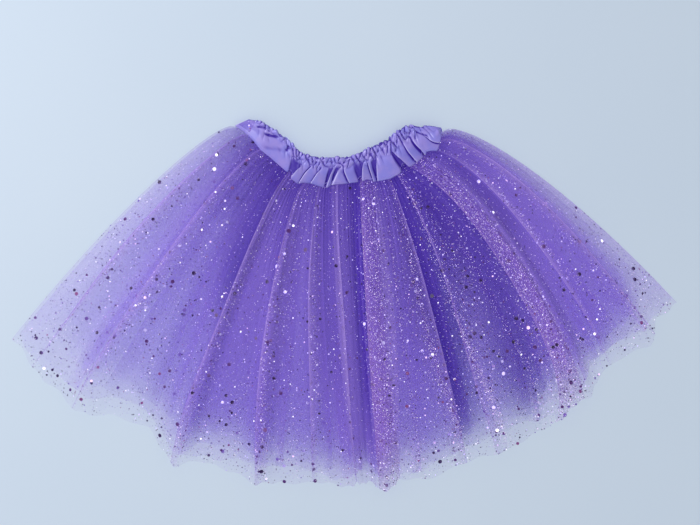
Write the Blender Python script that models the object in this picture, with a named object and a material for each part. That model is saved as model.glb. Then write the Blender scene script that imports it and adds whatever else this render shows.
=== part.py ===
"""A child's gathered tulle skirt, lying flat on its back.

Metres, +Z up. The underside rests on z = 0, +Y runs from the hem to the waist, and the origin is the
centre of the skirt's box at the floor. The maker's pieces are two plain tulle rings, one glitter tulle
ring and a satin casing gathered on elastic. Each ring is pressed flat, so it shows as a front half and
a back half, and the halves lie on each other in the order glitter, plain, plain, plain, plain, glitter.
"""

import math
from collections import namedtuple

import bmesh
import bpy

MM = 0.001

# Cloth and seams, in millimetres
TULLE_WALL = 1.1
CLOTH_GAP = 0.3
LOFT_GAP = 0.6
CASING_BACK_TOP = 3.6
CASING_FRONT_BASE = 4.2
CASING_WALL = 3.0

# Heights of folds and gathers, in millimetres
PUFF = 7.0
GATHER = 1.4
INNER_GATHER = 0.5
ELASTIC_GATHER = 0.9
FRILL_WAVE = 1.8

# Shares of the skirt's length and of the casing's height
FOLD_RISE = 0.3
FOLD_AT_SEAM = 0.15
SIDE_HEM_SHARE = 0.87
HEM_SHARE_GAIN = 0.07
RING_STEP_SHARE = 0.06
CASING_ROWS = (0.0, 0.38, 0.72, 0.82, 0.91, 1.0)
ELASTIC_ROW = 2

# One row for each main line of the cloth, from the left side to the right, in millimetres.
# seam, top and hem are places on the casing's lower edge, on its frill and on the glitter hem.
# bow is how far the line bends sideways, peak is where along it, fold is the skirt's height there,
# and pleat is the casing's height there.
Guide = namedtuple("Guide", "seam_x seam_y top_x top_y hem_x hem_y bow peak fold pleat")
GUIDES = [
    Guide(-100, 165, -87, 171, -309, -32, -15, 0.33, 0.0, 0.0),
    Guide(-90, 158, -80, 170, -292, -50, -12, 0.33, 3.0, 1.0),
    Guide(-83, 151, -74, 168, -271, -75, -10, 0.33, 1.0, 1.6),
    Guide(-76, 142, -67, 164, -247, -99, -11, 0.4, 5.0, 2.2),
    Guide(-67, 135, -60, 159, -212, -102, -9, 0.4, 1.5, 2.0),
    Guide(-59, 128, -53, 154, -180, -117, -8, 0.4, 0.5, 1.2),
    Guide(-51, 121, -47, 149, -155, -147, -9, 0.45, 7.0, 0.3),
    Guide(-47, 115, -42, 143, -133, -146, -8, 0.45, 2.0, 3.0),
    Guide(-42, 111, -38, 140, -100, -153, -9, 0.4, 4.0, 1.0),
    Guide(-36, 112, -32, 138, -80, -167, -11, 0.4, 7.0, 3.0),
    Guide(-29, 111, -26, 137, -56, -163, -8, 0.4, 2.0, 0.5),
    Guide(-23, 109, -21, 136, -29, -165, -5, 0.4, 5.0, 3.4),
    Guide(-16, 107, -14, 136, -5, -166, -4, 0.4, 2.0, 0.5),
    Guide(-10, 110, -8, 136, 9, -167, -3, 0.4, 5.0, 3.0),
    Guide(1, 111, -1, 136, 16, -165, -2, 0.4, 3.0, 3.4),
    Guide(9, 112, 5, 137, 23, -163, -2, 0.4, 0.3, 3.0),
    Guide(16, 113, 12, 139, 34, -171, -2, 0.4, 8.0, 0.3),
    Guide(23, 115, 17, 141, 44, -167, 1, 0.4, 8.5, 3.4),
    Guide(29, 113, 23, 144, 54, -161, 5, 0.4, 6.5, 0.5),
    Guide(36, 114, 28, 147, 77, -159, 6, 0.4, 5.0, 3.4),
    Guide(44, 116, 35, 150, 118, -146, 4, 0.4, 0.8, 4.0),
    Guide(51, 120, 41, 153, 146, -134, 9, 0.45, 5.0, 3.4),
    Guide(57, 124, 46, 158, 178, -121, 20, 0.5, 2.0, 0.5),
    Guide(62, 127, 51, 161, 194, -108, 32, 0.55, 7.0, 3.4),
    Guide(68, 131, 56, 164, 209, -96, 27, 0.5, 8.5, 4.0),
    Guide(75, 137, 62, 166, 225, -85, 20, 0.45, 7.0, 3.0),
    Guide(78, 141, 66, 165, 236, -68, 19, 0.4, 1.5, 0.5),
    Guide(87, 142, 72, 164, 263, -45, 19, 0.36, 4.0, 2.5),
    Guide(89, 149, 78, 165, 286, -34, 18, 0.33, 5.0, 2.5),
    Guide(90, 155, 84, 164, 290, -13, 19, 0.33, 2.0, 1.5),
    Guide(91, 160, 90, 163, 309, 2, 20, 0.33, 0.0, 0.0),
]
SPANS = len(GUIDES) - 1

# One row for each half of a tulle ring, from the floor up. inset is how many grid columns it stops
# short of the glitter ring's sides, rows is how many rows down it reaches, and share is how much of
# the folds' height it takes. The lowest half lies flat.
Layer = namedtuple("Layer", "name inset rows share colour")
GLITTER_PURPLE = (0.32, 0.20, 0.62)
PLAIN_PURPLE = (0.22, 0.12, 0.50)
LAYERS = [
    Layer("glitter_tulle_back", 0, 6, 0.0, GLITTER_PURPLE),
    Layer("outer_plain_tulle_back", 1, 5, 0.10, PLAIN_PURPLE),
    Layer("inner_plain_tulle_back", 2, 4, 0.22, PLAIN_PURPLE),
    Layer("inner_plain_tulle_front", 2, 4, 0.45, PLAIN_PURPLE),
    Layer("outer_plain_tulle_front", 1, 5, 0.70, PLAIN_PURPLE),
    Layer("glitter_tulle_front", 0, 6, 1.0, GLITTER_PURPLE),
]
SATIN_LAVENDER = (0.36, 0.27, 0.72)
PANEL_STEPS = 2
TOP_PANEL_STEPS = 4
CASING_STEPS = 3


def mix(first, second, share):
    return first + (second - first) * share


def smooth(share):
    share = min(max(share, 0.0), 1.0)
    return share * share * (3.0 - 2.0 * share)


def bow_profile(share, peak):
    """0 at the seam and the hem, 1 at the peak."""
    rise = (share / peak) ** (1.5 * peak)
    fall = ((1.0 - share) / (1.0 - peak)) ** (1.5 * (1.0 - peak))
    return rise * fall


def skirt_line(guide, share):
    """The plan point at a share of one line's way from the seam to the hem."""
    run_x = guide.hem_x - guide.seam_x
    run_y = guide.hem_y - guide.seam_y
    length = math.hypot(run_x, run_y)
    share = max(share, CLOTH_GAP / length)
    side = guide.bow * bow_profile(share, guide.peak)
    if share * length <= CLOTH_GAP:
        side = 0.0
    x = guide.seam_x + run_x * share - run_y / length * side
    y = guide.seam_y + run_y * share + run_x / length * side
    return x, y


def casing_line(guide, share):
    """The plan point at a share of one line's way from the seam up to the frill."""
    x = mix(guide.seam_x, guide.top_x, share)
    y = mix(guide.seam_y, guide.top_y, share)
    return x, y


def across(column, steps, line, share):
    """The plan point on a grid column, straight between the two guides on either side of it."""
    index = min(column // steps, SPANS - 1)
    part = (column - index * steps) / steps
    left = line(GUIDES[index], share)
    right = line(GUIDES[index + 1], share)
    return mix(left[0], right[0], part), mix(left[1], right[1], part)


def guide_value(column, steps, name):
    index = min(column // steps, SPANS - 1)
    part = (column - index * steps) / steps
    return mix(getattr(GUIDES[index], name), getattr(GUIDES[index + 1], name), part)


def row_share(column, steps, row):
    """How far down the skirt a grid row lies: the last three rows are the three rings' hems."""
    place = column / (SPANS * steps)
    outer_hem = SIDE_HEM_SHARE + HEM_SHARE_GAIN * math.sin(math.pi * place)
    inner_hem = outer_hem - RING_STEP_SHARE
    shares = (0.0, 0.16 * inner_hem, 0.42 * inner_hem, 0.7 * inner_hem, inner_hem, outer_hem, 1.0)
    return shares[row]


def lift(column, steps, row):
    """The height of the folds and the soft puff of the gathered cloth over the flat stack."""
    share = row_share(column, steps, row)
    place = column / (SPANS * steps)
    rise = mix(FOLD_AT_SEAM, 1.0, smooth(share / FOLD_RISE))
    puff = PUFF * math.sin(math.pi * place) ** 0.5 * math.sin(math.pi * share) ** 0.8
    return guide_value(column, steps, "fold") * rise + puff


def halves_under(index, column, steps, row):
    """How many halves lie below one at a grid point."""
    edge = column / steps * PANEL_STEPS
    last = SPANS * PANEL_STEPS
    count = 0
    for lower in LAYERS[:index]:
        if lower.inset <= edge <= last - lower.inset and row <= lower.rows:
            count += 1
    return count


def halves_under_smoothed(index, column, steps, row):
    """The same, straight between the panel grid's columns, for a grid with finer steps."""
    fine = steps // PANEL_STEPS
    left = column // fine
    right = min(left + 1, SPANS * PANEL_STEPS)
    part = (column - left * fine) / fine
    low = halves_under(index, left, PANEL_STEPS, row)
    high = halves_under(index, right, PANEL_STEPS, row)
    return mix(low, high, part)


def gather(column, steps, share, height):
    """Small ripples that are highest near the seam and die down towards the hem."""
    if column % 2 == 0 or column in (1, SPANS * steps - 1):
        return 0.0
    return height * (1.0 - 0.6 * share)


def cloth_material(name, colour, roughness):
    material = bpy.data.materials.new(name)
    material.use_nodes = True
    shader = material.node_tree.nodes["Principled BSDF"]
    shader.inputs["Base Color"].default_value = (*colour, 1.0)
    shader.inputs["Roughness"].default_value = roughness
    shader.inputs["Metallic"].default_value = 0.0
    return material


def cloth_wall(name, columns, rows, place, collection, material):
    """A closed wall from a grid: place(column, row) gives x, y, underside and top in millimetres."""
    shape = bmesh.new()
    bmesh.ops.create_grid(shape, x_segments=columns, y_segments=rows, size=0.5)
    bmesh.ops.triangulate(shape, faces=shape.faces[:], quad_method="FIXED")
    spot = {}
    for vertex in shape.verts:
        column = round((vertex.co.x + 0.5) * columns)
        row = round((0.5 - vertex.co.y) * rows)
        x, y, under, top = place(column, row)
        vertex.co = (x * MM, y * MM, under * MM)
        spot[vertex.index] = top * MM
    lower = shape.verts[:]
    heights = [spot[vertex.index] for vertex in lower]
    walls = bmesh.ops.extrude_face_region(shape, geom=shape.faces[:])
    upper = [item for item in walls["geom"] if isinstance(item, bmesh.types.BMVert)]
    above = {(vertex.co.x, vertex.co.y, vertex.co.z): vertex for vertex in upper}
    for vertex, height in zip(lower, heights):
        above[(vertex.co.x, vertex.co.y, vertex.co.z)].co.z = height
    bmesh.ops.recalc_face_normals(shape, faces=shape.faces[:])
    mesh = bpy.data.meshes.new(name)
    shape.to_mesh(mesh)
    shape.free()
    mesh.materials.append(material)
    piece = bpy.data.objects.new(name, mesh)
    collection.objects.link(piece)
    return piece


def tulle_half(index, collection):
    """One half of a tulle ring, on the same grid as the halves under it and moved up from them."""
    layer = LAYERS[index]
    on_top = index == len(LAYERS) - 1
    steps = TOP_PANEL_STEPS if on_top else PANEL_STEPS
    ripple = GATHER if on_top else INNER_GATHER
    spare = LOFT_GAP if on_top else 0.0

    def place(column, row):
        column += layer.inset
        share = row_share(column, steps, row)
        x, y = across(column, steps, skirt_line, share)
        if layer.share == 0.0:
            return x, y, 0.0, TULLE_WALL
        if on_top:
            count = halves_under_smoothed(index, column, steps, row)
        else:
            count = halves_under(index, column, steps, row)
        under = count * (TULLE_WALL + CLOTH_GAP) + spare
        under += layer.share * (lift(column, steps, row) + gather(column, steps, share, ripple))
        return x, y, under, under + TULLE_WALL

    columns = SPANS * steps - 2 * layer.inset
    material = cloth_material(layer.name + "_cloth", layer.colour, 0.7)
    return cloth_wall(layer.name, columns, layer.rows, place, collection, material)


def casing_front(collection):
    """The front of the shirred casing: pleats below the elastic, tight gathers on it, a frill above."""

    def place(column, row):
        share = CASING_ROWS[row]
        x, y = across(column, CASING_STEPS, casing_line, share)
        under = CASING_FRONT_BASE
        pleat = guide_value(column, CASING_STEPS, "pleat") * (1.0 - 0.55 * share)
        wave = 1.0 if column % 2 else -1.0
        if column in (0, SPANS * CASING_STEPS):
            wave = 0.0
        if row == ELASTIC_ROW or row == ELASTIC_ROW + 1:
            pleat += ELASTIC_GATHER * wave
        if row > ELASTIC_ROW + 1:
            pleat += FRILL_WAVE * wave
        return x, y, under, under + CASING_WALL + max(pleat, 0.0)

    material = cloth_material("waistband_front_satin", SATIN_LAVENDER, 0.35)
    rows = len(CASING_ROWS) - 1
    return cloth_wall("waistband_front", SPANS * CASING_STEPS, rows, place, collection, material)


def casing_back(collection):
    """The back of the casing, which lies flat on the floor."""
    rows = 3

    def place(column, row):
        share = row / rows
        x, y = across(column, 1, casing_line, share)
        return x, y, 0.0, CASING_BACK_TOP

    material = cloth_material("waistband_back_satin", SATIN_LAVENDER, 0.35)
    return cloth_wall("waistband_back", SPANS, rows, place, collection, material)


def main():
    for item in list(bpy.data.objects):
        bpy.data.objects.remove(item)
    collection = bpy.data.collections.new("tulle_skirt")
    bpy.context.scene.collection.children.link(collection)
    for index in range(len(LAYERS)):
        tulle_half(index, collection)
    casing_back(collection)
    casing_front(collection)


main()
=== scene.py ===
"""The looks of a child's glitter tulle skirt that lies flat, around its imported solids. Metres, +Z up.

Columns of cloth are placed by guide lines, numbered from 0 at the left side to 30 at the right side.
A share runs from 0 at the waist seam to 1 at the glitter hem.
"""

import math
from collections import namedtuple

import bpy
import numpy as np
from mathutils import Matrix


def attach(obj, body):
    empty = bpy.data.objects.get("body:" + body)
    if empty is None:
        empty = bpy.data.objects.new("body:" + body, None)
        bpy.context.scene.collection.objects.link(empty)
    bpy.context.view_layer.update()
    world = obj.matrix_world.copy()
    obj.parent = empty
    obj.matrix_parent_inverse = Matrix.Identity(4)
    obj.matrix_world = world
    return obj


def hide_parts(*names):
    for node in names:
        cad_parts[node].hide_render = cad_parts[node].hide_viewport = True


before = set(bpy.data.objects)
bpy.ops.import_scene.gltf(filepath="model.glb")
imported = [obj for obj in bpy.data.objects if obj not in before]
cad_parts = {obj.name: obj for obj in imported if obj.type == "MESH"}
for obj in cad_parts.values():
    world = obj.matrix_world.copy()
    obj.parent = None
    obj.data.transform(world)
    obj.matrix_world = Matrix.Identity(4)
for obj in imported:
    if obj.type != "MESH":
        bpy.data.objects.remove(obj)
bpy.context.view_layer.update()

MM = 0.001

# The same guide lines as the solids, in millimetres
Guide = namedtuple("Guide", "seam_x seam_y top_x top_y hem_x hem_y bow peak fold glitter")
GUIDES = [
    Guide(-100, 165, -87, 171, -309, -32, -15, 0.33, 0.0, 0.12),
    Guide(-90, 158, -80, 170, -292, -50, -12, 0.33, 3.0, 0.12),
    Guide(-83, 151, -74, 168, -271, -75, -10, 0.33, 1.0, 0.13),
    Guide(-76, 142, -67, 164, -247, -99, -11, 0.4, 5.0, 0.15),
    Guide(-67, 135, -60, 159, -212, -102, -9, 0.4, 1.5, 0.15),
    Guide(-59, 128, -53, 154, -180, -117, -8, 0.4, 0.5, 0.15),
    Guide(-51, 121, -47, 149, -155, -147, -9, 0.45, 7.0, 0.38),
    Guide(-47, 115, -42, 143, -133, -146, -8, 0.45, 2.0, 0.30),
    Guide(-42, 111, -38, 140, -100, -153, -9, 0.4, 4.0, 0.28),
    Guide(-36, 112, -32, 138, -80, -167, -11, 0.4, 7.0, 0.42),
    Guide(-29, 111, -26, 137, -56, -163, -8, 0.4, 2.0, 0.36),
    Guide(-23, 109, -21, 136, -29, -165, -5, 0.4, 5.0, 0.30),
    Guide(-16, 107, -14, 136, -5, -166, -4, 0.4, 2.0, 0.32),
    Guide(-10, 110, -8, 136, 9, -167, -3, 0.4, 5.0, 0.30),
    Guide(1, 111, -1, 136, 16, -165, -2, 0.4, 3.0, 0.22),
    Guide(9, 112, 5, 137, 23, -163, -2, 0.4, 0.3, 0.15),
    Guide(16, 113, 12, 139, 34, -171, -2, 0.4, 8.0, 0.95),
    Guide(23, 115, 17, 141, 44, -167, 1, 0.4, 8.5, 0.95),
    Guide(29, 113, 23, 144, 54, -161, 5, 0.4, 6.5, 0.60),
    Guide(36, 114, 28, 147, 77, -159, 6, 0.4, 5.0, 0.55),
    Guide(44, 116, 35, 150, 118, -146, 4, 0.4, 0.8, 0.50),
    Guide(51, 120, 41, 153, 146, -134, 9, 0.45, 5.0, 0.60),
    Guide(57, 124, 46, 158, 178, -121, 20, 0.5, 2.0, 0.50),
    Guide(62, 127, 51, 161, 194, -108, 32, 0.55, 7.0, 0.95),
    Guide(68, 131, 56, 164, 209, -96, 27, 0.5, 8.5, 0.95),
    Guide(75, 137, 62, 166, 225, -85, 20, 0.45, 7.0, 0.65),
    Guide(78, 141, 66, 165, 236, -68, 19, 0.4, 1.5, 0.38),
    Guide(87, 142, 72, 164, 263, -45, 19, 0.36, 4.0, 0.35),
    Guide(89, 149, 78, 165, 286, -34, 18, 0.33, 5.0, 0.38),
    Guide(90, 155, 84, 164, 290, -13, 19, 0.33, 2.0, 0.32),
    Guide(91, 160, 90, 163, 309, 2, 20, 0.33, 0.0, 0.30),
]
SPANS = len(GUIDES) - 1
COLUMN = {name: np.array([getattr(row, name) for row in GUIDES], float) for name in Guide._fields}

# The solids' stack, in millimetres: from layer to layer, and how far the net puffs up halfway down
STEP_UP = 1.4
PUFF = 7.0
# The share where the folds reach their full height, and how much of it they have at the seam
FOLD_RISE = 0.3
FOLD_AT_SEAM = 0.15

# The cut in metres: half of a tulle ring's width all round and the glitter ring's length
HALF_WIDTH = 0.80
SKIRT_LENGTH = 0.30
# How much net lies between two guide lines, in millimetres
CLOTH_PER_GUIDE = 30.0
# The least height of the net above the floor
NET_CLEARANCE = 0.3
# How far each half runs up under the casing, as a share
UNDER_CASING = 0.015
# The net that laps over the casing's left end: its share above the seam, the guide place where it stops
# and its height, in millimetres, at its right edge and how much lower it lies at the very end
LAP_SHARE = 0.085
LAP_END = 1.0
LAP_OVER = 9.4
LAP_FALL = 1.8
# A share above the seam climbs the casing this many times faster than it runs down the skirt
CASING_PER_SHARE = 10.0
# Half the width of the light line along a fold's free edge, in millimetres: denser net there, painted
# lighter as a highlight
EDGE_LINE = 1.7
# How much thinner the net gets at the hem of the flaps that stand up
FLAP_FADE = 0.45


def mix(first, second, share):
    return first + (second - first) * share


def smooth(share):
    share = np.clip(share, 0.0, 1.0)
    return share * share * (3.0 - 2.0 * share)


def between_guides(name, place, soft=False):
    """A column of the table at any place across the skirt."""
    index = np.clip(np.floor(place).astype(int), 0, SPANS - 1)
    part = place - index
    if soft:
        part = smooth(part)
    return mix(COLUMN[name][index], COLUMN[name][index + 1], part)


def line_plan(index, share):
    """Plan points on whole guide lines. Below the seam they run to the hem, above it up the casing."""
    seam = np.stack([COLUMN["seam_x"][index], COLUMN["seam_y"][index]], -1)
    top = np.stack([COLUMN["top_x"][index], COLUMN["top_y"][index]], -1)
    hem = np.stack([COLUMN["hem_x"][index], COLUMN["hem_y"][index]], -1)
    run = hem - seam
    length = np.linalg.norm(run, axis=-1, keepdims=True)
    aside = np.stack([-run[..., 1], run[..., 0]], -1) / length
    peak = COLUMN["peak"][index]
    down = np.clip(share, 0.0, 1.2)
    rise = (down / peak) ** (1.5 * peak)
    fall = (np.clip(1.0 - down, 0.0, 1.0) / (1.0 - peak)) ** (1.5 * (1.0 - peak))
    bow = (COLUMN["bow"][index] * rise * fall)[..., None]
    up = np.clip(-share, 0.0, 1.0)[..., None] * CASING_PER_SHARE
    return seam + run * down[..., None] + aside * bow + (top - seam) * up


def skirt_plan(place, share):
    index = np.clip(np.floor(place).astype(int), 0, SPANS - 1)
    part = (place - index)[..., None]
    return mix(line_plan(index, share), line_plan(index + 1, share), part)


def tangent(place, share, reach):
    """The plan step for one guide across, measured over a reach to both sides, and its length."""
    low = np.clip(place - reach, 0.0, SPANS)
    high = np.clip(place + reach, 0.0, SPANS)
    step = (skirt_plan(high, share) - skirt_plan(low, share)) / (high - low)[..., None]
    length = np.linalg.norm(step, axis=-1)
    return step / length[..., None], length


class Columns:
    """The run of a sheet across the skirt, with its tucks.

    Each column has a place, a level above the sheet, a sideways push and a rim (1 on a fold's free edge).
    Inside a tuck it also has the free edge that it draws in to as the tuck gets narrower towards the hem,
    and how thin the net gets there. edge is how far it lies from the free edge on a tuck's top pass.
    """

    def __init__(self, first, last, per_guide, tucks):
        self.rows = []
        self.per_guide = per_guide
        self.last = last
        here = first
        for tuck in tucks:
            here = self.tuck(here, tuck)
        self.run(here, last)
        table = np.array(self.rows)
        self.place, self.level, self.push, self.rim = table.T[:4]
        self.anchor, self.narrow, self.thin, self.edge = table.T[4:]

    def add(self, place, level, push=0.0, rim=0.0, anchor=0.0, narrow=1.0, thin=0.0, edge=99.0):
        self.rows.append((place, level, push, rim, anchor, narrow, thin, edge))

    def run(self, start, end, level=0.0):
        for place in self.places(start, end):
            self.add(place, level)

    def ease(self, start, end, height, free):
        """A top pass that slopes from a height at its free edge down to the sheet at its other end."""
        for place in self.places(start, end):
            down = abs(place - free) / abs(end - start)
            self.add(place, height * float(1.0 - smooth(down)), edge=abs(place - free))

    def places(self, start, end):
        count = max(int(abs(end - start) * self.per_guide), 3)
        return np.linspace(start, end, count + 1)[1:]

    def hidden(self, start, end, level, tuck, anchor):
        """A pass inside a tuck, thinner the further it is from the free edge."""
        for place in self.places(start, end):
            thin = tuck.soft * float(smooth(abs(place - anchor) / (tuck.right - tuck.left)))
            self.add(place, level, 0.0, 0.0, anchor, tuck.narrow, thin)

    def turn(self, place, level, lift, way, rim, anchor=0.0, narrow=1.0, thin=0.0):
        """A rounded turn that climbs by lift, bulging to the right for way 1 and to the left for -1."""
        for angle in np.radians((-60.0, -20.0, 20.0, 60.0)):
            height = level + lift * (1.0 + math.sin(angle)) / 2
            self.add(place, height, way * math.cos(angle) * abs(lift) / 2, rim, anchor, narrow, thin)

    def tuck(self, here, tuck):
        """Lays the sheet out to the tuck, over itself, and on. Each tuck has its free edge on a side."""
        lift = tuck.lift / 2
        if tuck.side == "left":
            self.run(here, tuck.left)
            self.hidden(tuck.left, tuck.right, 0.0, tuck, tuck.left)
            self.turn(tuck.right, 0.0, lift, 1, 0.0, tuck.left, tuck.narrow, tuck.soft)
            self.hidden(tuck.right, tuck.left, lift, tuck, tuck.left)
            self.turn(tuck.left, lift, lift, -1, 1.0)
            end = min(tuck.right + tuck.ease, self.last)
            self.ease(tuck.left, end, tuck.lift, tuck.left)
            return end
        start = max(here, tuck.left - tuck.ease)
        self.run(here, start)
        self.ease(start, tuck.right, tuck.lift, tuck.right)
        self.turn(tuck.right, tuck.lift, -lift, 1, 1.0)
        self.hidden(tuck.right, tuck.left, lift, tuck, tuck.right)
        self.turn(tuck.left, lift, -lift, -1, 0.0, tuck.right, tuck.narrow, tuck.soft)
        self.hidden(tuck.left, tuck.right, 0.0, tuck, tuck.right)
        return tuck.right


# One row for each overlapping fold: its two edges as guide places, its height, the side of its free edge,
# how far the net eases down beside it, how much of its width is left at the hem and how much its hidden
# passes thin out away from the free edge.
Tuck = namedtuple("Tuck", "left right lift side ease narrow soft")
FRONT_TUCKS = [
    Tuck(1.15, 1.70, 0.8, "left", 0.4, 0.05, 0.95),
    Tuck(2.85, 3.60, 1.3, "left", 0.9, 0.05, 0.95),
    Tuck(5.95, 6.90, 2.2, "left", 0.8, 0.35, 0.90),
    Tuck(8.85, 9.85, 1.4, "left", 0.8, 0.45, 0.90),
    Tuck(11.00, 11.70, 1.0, "left", 0.5, 0.20, 0.90),
    Tuck(12.75, 13.45, 1.4, "right", 0.5, 0.25, 0.90),
    Tuck(15.95, 17.95, 2.6, "left", 0.6, 0.95, 0.25),
    Tuck(19.05, 19.90, 1.6, "right", 0.5, 0.50, 0.85),
    Tuck(20.80, 21.60, 1.6, "left", 0.8, 0.40, 0.85),
    Tuck(22.95, 24.95, 2.6, "left", 0.9, 0.90, 0.35),
    Tuck(26.45, 27.00, 1.0, "left", 0.5, 0.05, 0.95),
    Tuck(27.75, 28.40, 1.4, "right", 0.4, 0.10, 0.90),
]

# One row for each half ring. level is its height in the stack, share how much of the folds it takes,
# first and last where it starts and ends across, hem and hem_gain its length at the sides and how much
# longer it is in the middle, net how much of the light one flat layer of it stops, most how many layers
# its gathers count for at most, and rim how much denser a fold's free edge is.
Half = namedtuple(
    "Half", "node level share first last hem hem_gain ripple per_guide rows net most rim seed"
)
HALVES = [
    Half("glitter_tulle_back", 0, 0.00, 0.0, 30.0, 0.965, 0.00, 0.0, 8, 26, 0.150, 2.6, 0.1, 11),
    Half("outer_plain_tulle_back", 1, 0.10, 0.4, 29.6, 0.870, 0.075, 0.3, 10, 28, 0.145, 7.0, 0.0, 12),
    Half("inner_plain_tulle_back", 2, 0.22, 0.9, 29.1, 0.830, 0.075, 0.3, 10, 28, 0.145, 7.0, 0.0, 13),
    Half("inner_plain_tulle_front", 3, 0.45, 0.9, 29.1, 0.830, 0.095, 0.5, 16, 40, 0.145, 7.0, 0.0, 14),
    Half("outer_plain_tulle_front", 4, 0.70, 0.4, 29.6, 0.870, 0.090, 0.7, 18, 44, 0.145, 7.0, 0.05, 15),
    Half("glitter_tulle_front", 5, 1.00, 0.0, 30.0, 1.000, 0.00, 1.0, 26, 56, 0.155, 2.6, 0.4, 16),
]


def random_tucks(half):
    """Overlapping folds of a layer that is mostly hidden, spread unevenly from a fixed seed."""
    draw = np.random.default_rng(half.seed)
    tucks = []
    here = half.first + 0.6
    while here < half.last - 2.2:
        left = here + draw.uniform(1.0, 3.0)
        width = draw.uniform(0.4, 1.3)
        side = "left" if draw.random() < 0.5 else "right"
        ease = draw.uniform(0.25, 0.5)
        tucks.append(Tuck(left, left + width, 0.7, side, ease, draw.uniform(0.3, 1.1), 0.8))
        here = left + width + 2 * ease
    return tucks


def hem_share(half, place):
    """Where a half ends, with a slightly uneven cut."""
    wave = 0.006 * np.sin(2.9 * place + half.seed) + 0.004 * np.sin(7.3 * place + 2.0 * half.seed)
    if not half.node.startswith("glitter"):
        wave = wave + 0.035 * np.exp(-((place - 5.0) / 1.6) ** 2)
        wave = wave + 0.05 * np.exp(-((place - 27.0) / 1.8) ** 2)
    if half.node == "glitter_tulle_back":
        wave = wave + 0.02 * np.sin(1.1 * place + 0.6)
    return half.hem + half.hem_gain * np.sin(math.pi * place / SPANS) + wave


def gathers(place, share, seed):
    """Ripples that radiate from the seam: fine ones die out early and broad ones reach the hem."""
    turn = 2.0 * math.pi
    fine = np.sin(turn * (2.7 * place + 0.35 * np.sin(1.9 * place + seed) + 0.2 * share))
    finer = np.sin(turn * (4.1 * place + 0.5 * np.sin(2.7 * place + 1.0 + seed)))
    broad = np.sin(turn * (0.85 * place + 0.3 * np.sin(1.3 * place + 2.0 + seed) - 0.2 * share))
    near = np.exp(-np.clip(share, 0.0, 1.0) / 0.25)
    return (0.40 * fine + 0.25 * finer) * near + 0.45 * broad * (0.35 + 0.65 * smooth(share / 0.4))


# One row for each deep fold, where the net stands in its own shade: its left and right edges as guide
# places at the seam and at its far end, the share where it ends, its depth and its crisp edge: 1 for the
# right one, -1 for the left one and 0 where both are soft.
Shadow = namedtuple("Shadow", "left right far_left far_right reach depth crisp")
SHADOWS = [
    Shadow(3.40, 6.00, 5.20, 6.00, 0.62, 0.75, 1),
    Shadow(6.90, 8.90, 8.30, 8.90, 0.50, 0.40, 1),
    Shadow(9.80, 12.95, 11.80, 12.95, 0.90, 0.45, 1),
    Shadow(13.40, 15.97, 14.20, 15.97, 1.10, 1.00, 1),
    Shadow(18.40, 22.95, 19.70, 20.60, 0.85, 0.65, 0),
    Shadow(19.90, 21.40, 19.90, 21.00, 1.20, 0.85, -1),
    Shadow(25.20, 27.20, 25.10, 26.60, 0.55, 0.45, 0),
    Shadow(20.20, 22.97, 20.60, 22.97, 1.30, 0.75, 1),
    Shadow(17.80, 20.60, 18.40, 19.90, 0.70, 0.30, 0),
    Shadow(1.20, 4.60, 2.20, 4.40, 0.30, 0.30, 1),
]


def open_shade(place, share):
    """How much painted shade the net gets away from folds: more near the waist and in the middle."""
    down = np.clip(share, 0.0, 1.0)
    deep = 0.20 + 0.52 * np.exp(-down / 0.40)
    side = smooth(np.minimum(place - 1.5, SPANS - 1.0 - place) / 6.0)
    return deep * mix(0.4 + 0.6 * np.exp(-down / 0.25), 1.0, side)


def fold_shade(place, share):
    """How far each place lies in a deep fold, from 0 to 1: this sets the painted shade there, and
    crowding reads it as denser net.
    """
    light = 1.0 + 0.0 * share
    for fold in SHADOWS:
        along = np.clip(share / fold.reach, 0.0, 1.0)
        left = mix(fold.left, fold.far_left, along)
        right = mix(fold.right, fold.far_right, along)
        part = (place - left) / (right - left)
        if fold.crisp < 0:
            part = 1.0 - part
        inside = smooth(part / (0.9 if fold.crisp else 0.5))
        inside = inside * (part < 1.0) if fold.crisp else inside * smooth((1.0 - part) / 0.35)
        fade = 1.0 - smooth((share / fold.reach - 0.55) / 0.45)
        light = light * (1.0 - fold.depth * inside * fade)
    return 1.0 - light


def crowding(place, share):
    """How many times more net lies at a place than the guide lines' spacing alone would give."""
    middle = smooth((place - 2.5) / 5.0) * smooth((28.5 - place) / 4.0)
    more = 1.0 + 1.2 * middle * (1.0 - smooth((share - 0.60) / 0.40)) + 1.3 * fold_shade(place, share)
    left = mix(mix(0.85, 0.50, smooth((share - 0.35) / 0.40)), 1.0, smooth(place / 8.0))
    right = mix(1.0, 1.55, smooth((place - 24.0) / 4.0))
    return more * left * right


def sway_of(place, share):
    """Guide lines wander a little, the same way in every layer."""
    sway = 0.07 * np.sin(3.1 * place + 5.0 * share) + 0.05 * np.sin(1.7 * place - 7.0 * share)
    return sway * smooth(share / 0.2) * smooth(place) * smooth(SPANS - place)


def start_share(half, place):
    """Where a half starts: just under the casing, but the left end laps over it on the front."""
    if half.node != "glitter_tulle_front":
        return -UNDER_CASING + 0.0 * place
    return mix(-LAP_SHARE, -UNDER_CASING, smooth((place - LAP_END) / 0.35))


def half_grid(half, columns):
    """Rows down and columns across: guide places, shares and how far down each half's own length."""
    down = np.concatenate([[-1.0, -0.6, -0.25], np.linspace(0.0, 1.0, half.rows) ** 1.1])
    place = columns.place[None, :] + 0.0 * down[:, None]
    down = down[:, None] + 0.0 * place
    narrowed = mix(1.0, columns.narrow, smooth((down - 0.30) / 0.70))
    place = columns.anchor + (place - columns.anchor) * narrowed
    share = np.where(down < 0.0, -down * start_share(half, place), down * hem_share(half, place))
    return place, share, down


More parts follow.
